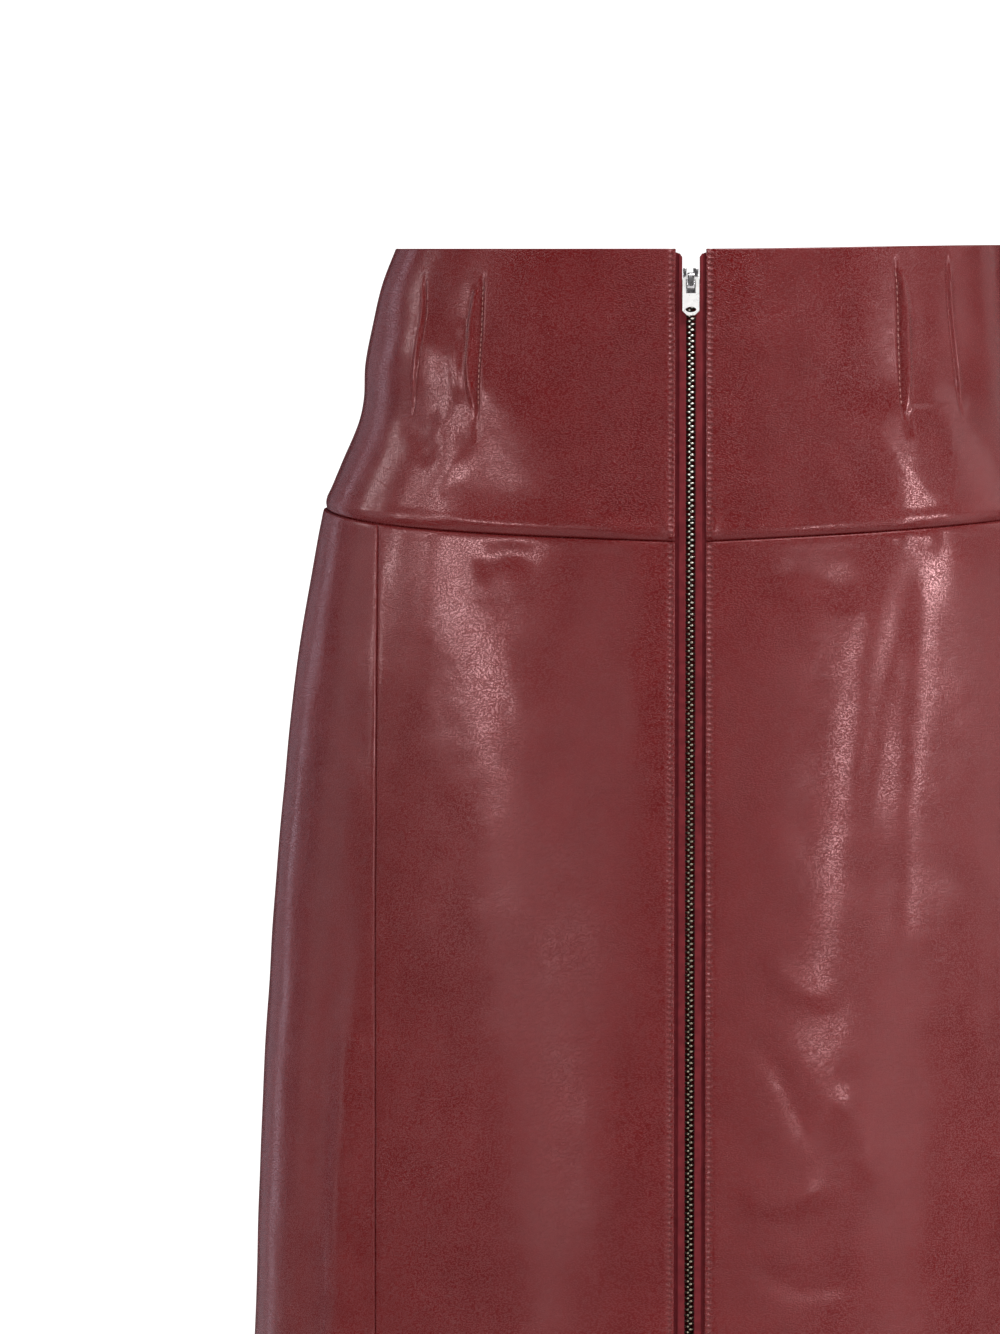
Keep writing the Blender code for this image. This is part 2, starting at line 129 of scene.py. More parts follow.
# ---- creases: a path, the spread on its left or upper and right or lower side, and the height ----
# A path is drawn downwards or towards the left, and a negative height is a trough.
Crease = namedtuple("Crease", "face path upper lower height")
CREASES = [
    # the largest folds, as in the solids
    Crease("front", [(-137, 230), (-142, 322), (-149, 390), (-166, 820)], 10, 9, 2.2),
    Crease("front", [(-146, 240), (-150, 320), (-160, 380), (-182, 820)], 13, 12, -1.3),
    Crease("front", [(136, 250), (160, 820)], 11, 11, 2.4),
    Crease("front", [(146, 270), (174, 820)], 9, 9, -1.8),
    Crease("front", [(84, 116), (78, 157), (67, 192), (61, 254), (53, 340)], 13, 13, 0.4),
    Crease("front", [(110, 116), (101, 157), (96, 192), (91, 276), (86, 350)], 11, 9, 0.5),
    Crease("front", [(93, 118), (89, 160), (81, 200), (74, 260)], 7, 7, -0.45),
    Crease("front", [(-96, 110), (-86, 230), (-66, 400), (-54, 560)], 26, 26, 0.9),
    # below the tucks of the right half
    Crease("front", [(-134, 34), (-108, 48), (-84, 66), (-62, 82), (-30, 104)], 15, 30, 2.3),
    Crease("front", [(-112, 72), (-105, 86), (-96, 100)], 9, 12, 0.8),
    Crease("front", [(-99.5, 30), (-99.5, 48), (-98, 68)], 5, 4, 0.6),
    Crease("front", [(-124, 70), (-116, 80), (-108, 94)], 6, 6, -0.6),
    Crease("front", [(-117, 67), (-104, 67.5), (-92, 67)], 1.4, 2.2, -0.06),
    Crease("front", [(-91, 70), (-90.5, 84)], 2.2, 1.6, -0.4),
    Crease("front", [(-12.0, 111), (-9.6, 118), (-7.4, 125)], 1.6, 1.3, 1.1),
    Crease("front", [(12.0, 111), (9.8, 118), (7.6, 125)], 1.3, 1.6, 1.1),
    Crease("front", [(-114, 112), (-90, 116.5), (-60, 118), (-22, 119.5)], 9, 3, 0.9),
    Crease("front", [(-58, 113), (-38, 117), (-24, 118)], 4, 3, 0.45),
    # below the tucks of the left half
    Crease("front", [(66, 94), (78, 78), (94, 69), (112, 73), (128, 86)], 11, 26, 1.9),
    Crease("front", [(94, 66), (92, 90), (90, 116)], 9, 10, 0.4),
    Crease("front", [(90, 69), (103, 68.5), (115, 67)], 1.2, 2.0, -0.3),
    Crease("front", [(91.5, 68), (93, 82)], 1.6, 2.2, -0.5),
    Crease("front", [(84, 121), (96, 124), (108, 124)], 5, 5, 0.8),
    Crease("front", [(32, 136), (52, 140), (74, 149)], 8, 6, -0.8),
    # lower front
    Crease("front", [(-94, 137), (-78, 130), (-62, 134)], 5, 6, -0.7),
    Crease("front", [(-40, 164), (-26, 186), (-18, 214)], 9, 8, 0.5),
    Crease("front", [(-48, 300), (-40, 380), (-30, 470)], 14, 12, 0.6),
    Crease("front", [(28, 296), (44, 312), (66, 318)], 6, 5, 0.6),
    Crease("front", [(22, 330), (40, 352), (52, 382)], 6, 5, -0.6),
    Crease("front", [(60, 352), (72, 372), (76, 400)], 6, 6, 0.6),
    Crease("front", [(18, 398), (38, 404), (60, 396)], 5, 5, 0.55),
    Crease("front", [(24, 430), (48, 440), (74, 436)], 5, 5, -0.5),
    # back and sides
    Crease("back", [(137, 240), (162, 820)], 11, 11, 2.6),
    Crease("back", [(-137, 210), (-160, 820)], 10, 10, 2.8),
    Crease("back", [(56, 200), (66, 380), (78, 560)], 18, 18, 1.8),
    Crease("back", [(-62, 180), (-70, 330), (-74, 480)], 16, 16, -1.6),
    Crease("back", [(-24, 150), (-34, 250), (-30, 340)], 13, 15, 1.1),
    Crease("back", [(-118, 132), (-84, 140), (-52, 136)], 6, 7, -0.8),
    Crease("back", [(40, 136), (82, 142), (112, 134)], 7, 6, -0.9),
    Crease("back", [(-96, 66), (-70, 88), (-34, 104)], 12, 16, 1.2),
    Crease("back", [(104, 70), (72, 92), (30, 106)], 13, 15, 1.0),
    Crease("back", [(12, 420), (34, 440), (58, 436)], 6, 6, 0.7),
]
CREASE_FADE = 0.28  # share of its length over which a crease rises
CREASE_REACH = 2.6  # spreads within which a crease counts
PATH_RADIUS = 0.15  # metres for a radian of turn, to share out a path's length
LEAST_RADIUS = 0.09  # a turn is never fewer metres than this
TUCK_REACH = 0.014
TUCK_SHARES = (0.0, 0.3, 0.65, 1.0)  # where a tuck's fold widths hold
FOLD_START, FOLD_EDGE = 0.3 * MM, 1.8 * MM  # from the stitched line, and the spread of the outer edge
INNER_LAYER, INNER_SPREAD = 0.16, 0.6 * MM  # the layer that shows through a fold
TUCK_DITCH_WIDTH = 0.75 * MM
FROM_ZIP = "from_zip_edge"  # the attribute that holds each point's distance from the zip edge


def fade(share):
    """Rise from 0 to 1 with level ends."""
    share = np.clip(share, 0.0, 1.0)
    return share * share * (3 - 2 * share)


# ---- the form ----
def form(column, drop):
    """A column of SECTIONS at any drop, on a smooth curve through its rows."""
    values = np.array([getattr(s, column) for s in SECTIONS])
    rows = np.arange(len(DROPS))
    before, after = np.maximum(rows - 1, 0), np.minimum(rows + 1, len(DROPS) - 1)
    slopes = (values[after] - values[before]) / (DROPS[after] - DROPS[before])
    low = np.clip(np.searchsorted(DROPS, drop, side="right") - 1, 0, len(DROPS) - 2)
    step = DROPS[low + 1] - DROPS[low]
    t = (drop - DROPS[low]) / step
    value = values[low] * (1 + 2 * t) * (1 - t) ** 2 + values[low + 1] * t * t * (3 - 2 * t)
    return value + step * t * (1 - t) * (slopes[low] * (1 - t) - slopes[low + 1] * t)


def plain(turn, z):
    """Points of the outer face before tucks, creases and seams."""
    turn, z = np.broadcast_arrays(np.asarray(turn, float), np.asarray(z, float))
    width = np.where(np.sin(turn) > 0, form("left_half", -z), form("right_half", -z))
    depth = np.where(np.cos(turn) > 0, form("front_depth", -z), form("back_depth", -z))
    return np.stack((width * np.sin(turn), -depth * np.cos(turn), z), axis=-1)


def outward(turn, z):
    """Unit vectors out of the face before tucks, creases and seams."""
    step = 0.001
    across = plain(turn + step, z) - plain(turn - step, z)
    up = plain(turn, z + step) - plain(turn, z - step)
    out = np.cross(across, up)
    return out / np.linalg.norm(out, axis=-1, keepdims=True)


def metres_per_turn(turn, z):
    """Metres round the skirt for each radian of turn."""
    step = 0.001
    return np.linalg.norm(plain(turn + step, z) - plain(turn - step, z), axis=-1) / (2 * step)


def turn_at(x, z, face="front"):
    """The turn of the vertical line at x on the front or back."""
    width = form("left_half" if np.mean(x) > 0 else "right_half", -z)
    turn = np.arcsin(np.clip(x / width, -1.0, 1.0))
    return turn if face == "front" else math.pi - turn


def wrap(turn):
    """The same turn, or difference of turns, from -pi to pi."""
    return (turn + math.pi) % (2 * math.pi) - math.pi


def waist_z(turn):
    """Height of the waist edge: level in front, a little lower at the back."""
    side = LEFT_RISE * fade(np.sin(turn))
    back = fade(-np.cos(turn))
    return side * (1 - back) - BACK_DIP * back


def yoke_z(turn):
    """Height of the seam under the yoke, which dips to the centre front and back."""
    across = np.abs(np.sin(turn))
    slant = np.where(np.sin(turn) > 0, YOKE_SLANT["left"], YOKE_SLANT["right"])
    return -YOKE_SIDE - YOKE_POINT * (1 - slant * across) * (1 - across**5) ** 0.6


# ---- relief of the leather ----
def smooth_path(points, face):
    """A path in millimetres as (turn, z) points on a smooth curve."""
    points = np.array(points, float) * MM
    ends = np.vstack((2 * points[0] - points[1], points, 2 * points[-1] - points[-2]))
    found = []
    for a, b, c, d in zip(ends, ends[1:], ends[2:], ends[3:]):
        for t in np.linspace(0, 1, 5)[:-1]:
            bend = (2 * a - 5 * b + 4 * c - d) * t**2 + (3 * b - a - 3 * c + d) * t**3
            found.append(0.5 * (2 * b + (c - a) * t + bend))
    found.append(points[-1])
    return [(float(turn_at(x, -drop, face)), -drop) for x, drop in found]


def along_path(path, turn, z):
    """Signed distance to a path, positive on its left, and the share of its length passed."""
    scale = metres_per_turn(turn, z)
    nearest = np.full(turn.shape, 1e9)
    signed, share = np.full(turn.shape, 1e9), np.zeros(turn.shape)
    steps = [math.hypot((b[0] - a[0]) * PATH_RADIUS, b[1] - a[1]) for a, b in zip(path, path[1:])]
    passed = np.concatenate(([0.0], np.cumsum(steps)))
    for i, ((turn_a, z_a), (turn_b, z_b)) in enumerate(zip(path, path[1:])):
        px, pz = wrap(turn - turn_a) * scale, z - z_a
        sx, sz = (turn_b - turn_a) * scale, z_b - z_a
        t = np.clip((px * sx + pz * sz) / (sx * sx + sz * sz + 1e-12), 0, 1)
        dx, dz = px - t * sx, pz - t * sz
        away = np.hypot(dx, dz)
        closer = away < nearest
        nearest = np.where(closer, away, nearest)
        signed = np.where(closer, np.copysign(away, sx * dz - sz * dx), signed)
        share = np.where(closer, (passed[i] + t * steps[i]) / passed[-1], share)
    return signed, share


def near_path(path, turn, z, reach):
    """Which points lie within reach of a path's box."""
    turns, heights = [p[0] for p in path], [p[1] for p in path]
    middle = (min(turns) + max(turns)) / 2
    half = (max(turns) - min(turns)) / 2 + reach / LEAST_RADIUS
    apart = np.abs(wrap(turn - middle))
    return (apart < half) & (z > min(heights) - reach) & (z < max(heights) + reach)


def bump(away, upper, lower):
    """A rounded ridge with a spread of its own on each side."""
    return np.exp(-((away / np.where(away > 0, upper, lower)) ** 2))


def crease_relief(turn, z):
    """Height of all creases at each point."""
    raised = np.zeros(turn.shape)
    for crease in CREASES:
        path = smooth_path(crease.path, crease.face)
        upper, lower = crease.upper * MM, crease.lower * MM
        here = near_path(path, turn, z, CREASE_REACH * max(upper, lower))
        if not here.any():
            continue
        away, share = along_path(path, turn[here], z[here])
        ends = fade(share / CREASE_FADE) * fade((1 - share) / CREASE_FADE)
        raised[here] += crease.height * MM * ends * bump(away, upper, lower)
    return raised


def tuck_relief(turn, z):
    """A ditch along the stitched line, and the laid fold rising from it to a rounded edge."""
    raised = np.zeros(turn.shape)
    for tuck in TUCKS:
        path = np.array(smooth_path(tuck.stitched, "front"))[::-1]
        side = math.copysign(1.0, tuck.stitched[0][0])
        here = near_path(path, turn, z, TUCK_REACH)
        if not here.any():
            continue
        at, down = turn[here], z[here]
        share = (path[-1, 1] - down) / (path[-1, 1] - path[0, 1])
        across = side * (at - np.interp(down, path[:, 1], path[:, 0])) * metres_per_turn(at, down)
        fold = np.interp(share, TUCK_SHARES, tuck.fold) * MM
        ends = fade(share / 0.14) * fade((1 - share) / 0.2)
        laid = fade((across - FOLD_START) / (0.9 * fold)) * (0.55 + 0.45 * across / fold)
        edge = np.exp(-((np.maximum(across - fold, 0) / FOLD_EDGE) ** 2))
        inner = INNER_LAYER * np.exp(-(((across - 0.42 * fold) / INNER_SPREAD) ** 2))
        inner *= fade((0.6 - share) / 0.3)
        raised[here] += ends * tuck.rise * MM * (np.where(across > fold, edge, laid) + inner)
        long_ends = fade((share + 0.08) / 0.14) * fade((1.12 - share) / 0.2)
        line = np.exp(-((across / TUCK_DITCH_WIDTH) ** 2))
        raised[here] -= long_ends * tuck.ditch * MM * line
    return raised


def ridge(away, height, at, width):
    """A rounded ridge, or a groove if height is negative, at a distance from a line."""
    return height * np.exp(-(((away - at) / width) ** 2))


def pressed_seam(away, depth, width, welt):
    """A groove, and a soft welt on both sides where the allowances lie behind."""
    return ridge(away, -depth, 0.0, width) + ridge(np.abs(away), welt, 0.0034, 0.0024)


def seam_relief(turn, z):
    """The pressed seams: under the yoke, down the panels, at the yoke's sides and along the zip."""
    scale = metres_per_turn(turn, z)
    above = z - yoke_z(turn)
    raised = ridge(above, -0.0009, 0.0, np.where(above > 0, 0.0015, 0.0005))
    raised += ridge(above, 0.0004, 0.0046, 0.0026) + ridge(above, 0.00015, -0.0028, 0.002)
    below = fade(-above / 0.004)
    wrapped = wrap(turn)
    for side in (1, -1):
        for face in ("front", "back"):
            seam = turn_at(side * PANEL_SEAM_X, z, face)
            away = wrap(turn - seam) * scale
            raised += below * pressed_seam(away, 0.00025, 0.0007, 0.0001)
        away = (wrapped - side * math.pi / 2) * scale
        raised += (1 - below) * pressed_seam(away, 0.0003, 0.0009, 0.00015)
        zip_side = (side * wrapped - np.abs(turn_at(side * ZIP_EDGE, z))) * scale
        raised += (np.cos(turn) > 0) * ridge(zip_side, -0.00038, 0.0019, 0.0007)
    return raised


# length, heading, start and height of each wave, from 0 to 1
WAVES = np.random.default_rng(11).uniform(0.0, 1.0, (18, 4))


def uneven(turn, z):
    """The slight unevenness of soft leather: long low waves in all directions."""
    raised = np.zeros(turn.shape)
    for length, heading, phase, share in WAVES:
        length = 0.022 + 0.060 * length
        heading = math.pi * heading
        along = turn * 0.17 * math.cos(heading) + z * math.sin(heading)
        raised += (0.4 + share) * length * 0.0009 * np.sin(2 * math.pi * (along / length + phase))
    return raised * (0.4 + 0.6 * fade((-z - 0.02) / 0.12))


def leather(turn, z, depth=0.0):
    """Points of the finished outer face, or under it by depth."""
    turn, z = np.broadcast_arrays(np.asarray(turn, float), np.asarray(z, float))
    raised = crease_relief(turn, z) + tuck_relief(turn, z) + seam_relief(turn, z) + uneven(turn, z)
    return plain(turn, z) + outward(turn, z) * (raised - depth)[..., None]


# ---- sheets ----
def folded_edge(allowance):
    """Insets and depths from the turned-in raw edge, round the fold, to the face."""
    found = [(allowance, 2 * ROLL), (allowance * 0.4, 2 * ROLL), (ROLL * 1.3, 2 * ROLL)]
    for angle in np.radians([155, 125, 90, 60, 30, 0]):
        found.append((ROLL * (1 - math.sin(angle)), ROLL * (1 - math.cos(angle))))
    return found


def stations(spans, low, high, near_low=(), near_high=()):
    """(span, share, inset, depth) for each line of a grid between two folded edges.

    spans are the counts of lines between the marks. low and high are the allowances turned in at the
    ends, and near_low and near_high are the insets of extra lines beside them.
    """
    found = [(0, 0.0, inset, depth) for inset, depth in folded_edge(low)]
    found += [(0, 0.0, inset, 0.0) for inset in near_low]
    first = near_low[-1] if near_low else ROLL
    final = near_high[-1] if near_high else ROLL
    last = len(spans) - 1
    for span, count in enumerate(spans):
        for i in range(1 if span == 0 else 0, count):
            share = i / count
            inset = first * (1 - share) if span == 0 else 0.0
            if span == last:
                inset -= final * share
            found.append((span, share, inset, 0.0))
    found += [(last, 1.0, -inset, 0.0) for inset in reversed(near_high)]
    found += [(last, 1.0, -inset, depth) for inset, depth in reversed(folded_edge(high))]
    return [np.array(v) for v in zip(*found)]


def sheet(name, side, marks, columns, rows, top, low):
    """A leather piece on a grid with its edges turned in.

    marks(z) are the turns of its column marks, as on the left side. top and low give the height of its
    upper and lower edge at each turn.
    """
    span, share_across, inset_across, depth_across = columns
    _, share_down, inset_down, depth_down = rows
    count_x, count_y = len(span), len(share_down)
    down = share_down[::-1][:, None]
    z = np.full((count_y, count_x), -YOKE_SIDE) * down
    for _ in range(5):
        at = np.stack([np.broadcast_to(m, z.shape) for m in marks(z)])
        columns_index = np.arange(count_x)[None, :]
        rows_index = np.arange(count_y)[:, None]
        start, end = at[span, rows_index, columns_index], at[span + 1, rows_index, columns_index]
        turn = start + (end - start) * share_across
        turn = side * (turn + inset_across / metres_per_turn(side * turn, z))
        upper, lower = top(turn), low(turn)
        z = upper - (upper - lower) * down - inset_down[::-1][:, None]
    if side < 0:
        turn, z, depth_across = turn[:, ::-1], z[:, ::-1], depth_across[::-1]
    across, under = depth_across[None, :], depth_down[::-1][:, None]
    points = leather(turn, z, across + under)

    bm = bmesh.new()
    bmesh.ops.create_grid(bm, x_segments=count_x - 1, y_segments=count_y - 1, size=0.5)
    from_zip = (np.abs(wrap(turn)) - np.abs(turn_at(side * ZIP_EDGE, z))) * metres_per_turn(turn, z)
    layer = bm.verts.layers.float.new(FROM_ZIP)
    for vert, point, distance in zip(bm.verts, points.reshape(-1, 3), from_zip.ravel()):
        vert.co = point
        vert[layer] = distance
    # the allowances overlap at the corners, where one of them is trimmed away
    trimmed = ((np.minimum(across, under) > 0.1 * ROLL) & (across + under > 1.3 * ROLL)).ravel()
    bm.verts.index_update()
    spare = [f for f in bm.faces if all(trimmed[v.index] for v in f.verts)]
    bmesh.ops.delete(bm, geom=spare, context="FACES")
    return cloth_piece(name, bm, HIDE)


def piece_of(name, bm, wall=0.0):
    """A piece from bm, with a wall under its face where one is given."""
    mesh = bpy.data.meshes.new(name)
    bm.to_mesh(mesh)
    bm.free()
    piece = bpy.data.objects.new(name, mesh)
    bpy.context.collection.objects.link(piece)
    if wall:
        hide = piece.modifiers.new("hide", "SOLIDIFY")
        hide.thickness = wall
        hide.offset = -1.0
    return piece


def cloth_piece(name, bm, wall):
    for face in bm.faces:
        face.smooth = True
    for edge in bm.edges:
        edge.smooth = not edge.is_boundary
    return piece_of(name, bm, wall)


def gap_turn(turn, z):
    """Half of the gap between two pieces, as a turn."""
    return SEAM_GAP / 2 / metres_per_turn(turn, z)


# Each of the marks functions gives the turns of a piece's column marks at heights z, as on the left.
def yoke_marks(side):
    """From the zip edge, past both ends of the tucks' part, to the side seam."""

    def marks(z):
        inner = [np.abs(turn_at(side * x, z)) for x in (ZIP_EDGE, 0.080, 0.126)]
        return inner + [math.pi / 2 - gap_turn(math.pi / 2, z)]

    return marks


def back_yoke_marks(z):
    gap = gap_turn(math.pi / 2, z)
    return [math.pi / 2 + gap, 3 * math.pi / 2 - gap]


def front_marks(z):
    seam = turn_at(PANEL_SEAM_X, z)
    return [turn_at(ZIP_EDGE, z), seam - gap_turn(seam, z)]


def side_marks(z):
    front, back = turn_at(PANEL_SEAM_X, z), turn_at(PANEL_SEAM_X, z, "back")
    return [front + gap_turn(front, z), back - gap_turn(back, z)]


def back_marks(z):
    seam, gap = turn_at(PANEL_SEAM_X, z, "back"), gap_turn(0.0, z)
    return [seam + gap, 2 * math.pi - seam - gap]


def hem_z(turn):
    return np.full(np.shape(turn), -LENGTH)


def under_yoke_z(turn):
    return yoke_z(turn) - SEAM_GAP


# ---- materials ----
def shader(name, colour, roughness, metallic=0.0):
    """A new material with one colour and roughness, to be wired further or used as it is."""
    made = bpy.data.materials.new(name)
    made.use_nodes = True
    principled = made.node_tree.nodes["Principled BSDF"]
    principled.inputs["Base Color"].default_value = (*colour, 1.0)
    principled.inputs["Roughness"].default_value = roughness
    principled.inputs["Metallic"].default_value = metallic
    return made


class Wiring:
    """Adds nodes to a material, each fed by values or by other nodes' outputs.

    Every method that adds one gives back its output, to feed the next.
    """

    def __init__(self, made):
        self.tree = made.node_tree
        self.shader = self.tree.nodes["Principled BSDF"]

    def add(self, kind, inputs=None, output=0, **settings):
        node = self.tree.nodes.new("ShaderNode" + kind)
        for key, value in settings.items():
            setattr(node, key, value)
        for key, value in (inputs or {}).items():
            self.feed(node.inputs[key], value)
        return node.outputs[output]

    def feed(self, socket, value):
        if isinstance(value, bpy.types.NodeSocket):
            self.tree.links.new(value, socket)
        else:
            socket.default_value = value

    def math(self, operation, *values):
        return self.add("Math", dict(enumerate(values)), operation=operation)

    def ramp(self, value, low, high, to_low, to_high):
        return self.add(
            "MapRange",
            {"Value": value, "From Min": low, "From Max": high, "To Min": to_low, "To Max": to_high},
            interpolation_type="SMOOTHSTEP",
        )

    def mix(self, share, one, other):
        return self.add("MixRGB", {"Fac": share, "Color1": one, "Color2": other})

    def place(self):
        """Object coordinates."""
        return self.add("TexCoord", output=3)

    def part(self, place, axis):
        return self.add("SeparateXYZ", {"Vector": place}, output="XYZ".index(axis))

    def noise(self, place, scale, detail):
        return self.add("TexNoise", {"Vector": place, "Scale": scale, "Detail": detail})

    def wave(self, along, length):
        """Ups and downs of the given length along an axis."""
        return self.math("SINE", self.math("MULTIPLY", along, 2 * math.pi / length))

    def bump(self, height, distance, strength=1.0, under=None):
        inputs = {"Height": height, "Strength": strength, "Distance": distance}
        if under is not None:
            inputs["Normal"] = under
        return self.add("Bump", inputs)


BURGUNDY = (0.120, 0.0065, 0.0070, 1.0)
BURGUNDY_DEEP = (0.100, 0.0042, 0.0046, 1.0)
# painted shade: the colour that the grain's valleys are darkened towards
BURGUNDY_VALLEY_SHADE = (0.055, 0.0022, 0.0026, 1.0)
GRAIN_SCALE = 2300.0
TAPE_DARK, TAPE_LIGHT = (0.098, 0.010, 0.0135), (0.140, 0.0155, 0.020)


def grained_leather():
    """Polished leather: clouded colour, slanting fine wrinkles with painted shade in their valleys, and
    puckers beside the zip's stitches.
    """
    made = shader("burgundy_leather", BURGUNDY[:3], 0.4)
    w = Wiring(made)
    place = w.place()
    cloud = w.noise(place, 9.0, 3.0)
    mottle = w.noise(place, 70.0, 4.0)
    lie = w.noise(place, 28.0, 1.0)
    wrinkles = []
    for angle in (0.75, -0.75):
        turned = {"Vector": place, "Rotation": (0.0, angle, 0.0), "Scale": (0.5, 1.0, 1.0)}
        wrinkles.append(w.noise(w.add("Mapping", turned), GRAIN_SCALE, 1.0))
    grain = w.add("Mix", {0: w.ramp(lie, 0.4, 0.6, 0.0, 1.0), 2: wrinkles[0], 3: wrinkles[1]})
    tops = w.ramp(grain, 0.41, 0.53, 0.0, 1.0)
    valleys = w.ramp(tops, 0.0, 1.0, 0.18, 0.0)
    tone = w.math("ADD", w.ramp(cloud, 0.35, 0.65, 0.0, 0.6), w.ramp(mottle, 0.35, 0.65, 0.0, 0.4))
    # the grain's valleys are darkened: painted shade in the creases
    colour = w.mix(valleys, w.mix(tone, BURGUNDY_DEEP, BURGUNDY), BURGUNDY_VALLEY_SHADE)
    w.feed(w.shader.inputs["Base Color"], colour)
    roughness = w.math("ADD", valleys, w.ramp(mottle, 0.3, 0.7, 0.15, 0.21))
    w.feed(w.shader.inputs["Roughness"], roughness)
    from_zip = w.add("Attribute", attribute_name=FROM_ZIP, output=2)
    from_stitches = w.math("ABSOLUTE", w.math("SUBTRACT", from_zip, TOPSTITCH))
    beside = w.ramp(from_stitches, 0.0, 1.8 * MM, 1.0, 0.0)
    puckers = w.math("MULTIPLY", w.wave(w.part(place, "Z"), STITCH), beside)
    dents = w.bump(mottle, 0.22 * MM)
    fine = w.bump(tops, 0.085 * MM, under=dents)
    w.feed(w.shader.inputs["Normal"], w.bump(puckers, 0.30 * MM, under=fine))
    w.shader.inputs["Specular IOR Level"].default_value = 0.62
    w.shader.inputs["Specular Tint"].default_value = (1.0, 0.58, 0.60, 1.0)
    return made


def antique_brass(name, dark, pale_end, roughness):
    """Zip metal mixed from two colours, lighter at the top of the zip and darker further down; on the
    teeth, painted shade and painted glint.
    """
    made = shader(name, dark, roughness, 1.0)
    w = Wiring(made)
    place = w.place()
    cloud = w.noise(place, 900.0, 2.0)
    paler_higher = w.ramp(w.part(place, "Z"), -0.20, -0.05, 0.12, 1.0)
    paling = w.math("MULTIPLY", paler_higher, w.ramp(cloud, 0.3, 0.65, 0.55, 1.0))
    w.feed(w.shader.inputs["Base Color"], w.mix(paling, (*dark, 1.0), (*pale_end, 1.0)))
    w.feed(w.shader.inputs["Roughness"], w.ramp(cloud, 0.3, 0.7, roughness - 0.06, roughness + 0.1))
    return made


def metal(name, colour, roughness, metallic=1.0):
    """Plated metal with faint scratches down its length."""
    made = shader(name, colour, roughness, metallic)
    w = Wiring(made)
    place = w.place()
    cloud = w.noise(place, 400.0, 3.0)
    w.feed(w.shader.inputs["Roughness"], w.ramp(cloud, 0.3, 0.7, roughness - 0.04, roughness + 0.08))
    drawn = w.add("Mapping", {"Vector": place, "Scale": (1.0, 1.0, 0.08)})
    scratches = w.add("TexNoise", {"Vector": drawn, "Scale": 6000.0})
    w.feed(w.shader.inputs["Normal"], w.bump(scratches, 0.01 * MM, 0.15))
    return made


def woven_tape():
    """Dull woven tape in two shades of red."""
    made = shader("zip_tape", TAPE_LIGHT, 0.62)
    w = Wiring(made)
    place = w.place()
    weft, warp = w.wave(w.part(place, "Z"), 0.62 * MM), w.wave(w.part(place, "X"), 0.5 * MM)
    weave = w.math("MULTIPLY", weft, warp)
    cloud = w.ramp(w.noise(place, 300.0, 3.0), 0.3, 0.7, 0.0, 1.0)
    w.feed(w.shader.inputs["Base Color"], w.mix(cloud, (*TAPE_DARK, 1.0), (*TAPE_LIGHT, 1.0)))
    w.feed(w.shader.inputs["Normal"], w.bump(weave, 0.08 * MM, 0.25))
    w.shader.inputs["Specular IOR Level"].default_value = 0.2
    w.shader.inputs["Specular Tint"].default_value = (1.0, 0.5, 0.5, 1.0)
    return made


def thread(name, dark, light):
    """Twisted thread in two shades."""
    made = shader(name, light, 0.5)
    w = Wiring(made)
    ply = w.noise(w.place(), 2500.0, 2.0)
    w.feed(w.shader.inputs["Base Color"], w.mix(ply, (*dark, 1.0), (*light, 1.0)))
    w.feed(w.shader.inputs["Normal"], w.bump(ply, 0.05 * MM, 0.4))
    return made


# ---- zip and stitches ----
def skin_frames(turn, z, lift=0.0, along=None):
    """Axes on the leather at each point: across, up or along a path, and out of the face."""
    found = []
    for i, (here, out) in enumerate(zip(leather(turn, z), outward(turn, z))):
        out = Vector(out)
        up = Vector(along[i]).normalized() if along is not None else out.cross(Vector((1, 0, 0)))
        across = up.cross(out).normalized()
        place = Matrix((across, out.cross(across), out)).transposed().to_4x4()
        place.translation = Vector(here) + out * lift
        found.append(place)
    return found


def zip_frame(drop, sunk=0.0):
    """Axes on the centre front: across, up the zip and out."""
    out = Vector(outward(0.0, -drop))
    across = Vector((1, 0, 0))
    place = Matrix((across, out.cross(across), out)).transposed().to_4x4()
    place.translation = Vector(plain(0.0, -drop)) - out * sunk
    return place


def tape_inner(drop):
    """Distance of a tape's inner edge from the centre: wider above the slider."""
    spread = fade((SLIDER_DROP + 0.0035 - drop) / 0.006)
    return TAPE_EDGE_CLOSED + (TAPE_EDGE_OPEN - TAPE_EDGE_CLOSED) * spread


def tape(name, side):
    """A tape with a raised band beside the teeth; its top slants down towards the teeth."""
    across = np.array(TAPE_LINES) / 100
    down = (np.arange(TAPE_ROWS + 1) / TAPE_ROWS)[::-1][:, None] ** 1.1
    drop = np.full((TAPE_ROWS + 1, len(across)), 0.1)
    for _ in range(3):
        inner = tape_inner(drop)
        flat = BAND_OUTER + (TAPE_OUTER - BAND_OUTER) * (across - 1) / (across[-1] - 1)
        x = np.where(across > 1, flat, inner + (BAND_OUTER - inner) * across)
        slant = 0.0011 * fade((0.0048 - x) / 0.0011) - 0.0010 * fade((x - 0.0045) / 0.002)
        top = TAPE_TOP + slant
        drop = top + (TAPE_BOTTOM - top) * down
    raised = BAND_RISE * fade(across / 0.16 + 0.25) * fade((1.06 - across) / 0.22)
    if side < 0:
        x, drop, raised = x[:, ::-1], drop[:, ::-1], raised[::-1]
    turn = turn_at(side * x, -drop)
    points = plain(turn, -drop) - outward(turn, -drop) * (TAPE_SUNK - raised)[..., None]
    bm = bmesh.new()
    bmesh.ops.create_grid(bm, x_segments=len(across) - 1, y_segments=TAPE_ROWS, size=0.5)
    for vert, point in zip(bm.verts, points.reshape(-1, 3)):
        vert.co = point
    return cloth_piece(name, bm, TAPE_WALL)


def repeat(name, shape, places):
    """One piece with a copy of a small shape at each place."""
    bm = bmesh.new()
    for place in places:
        start = len(bm.verts)
        bm.from_mesh(shape)
        bm.verts.ensure_lookup_table()
        bmesh.ops.transform(bm, matrix=place, verts=bm.verts[start:])
    return piece_of(name, bm)


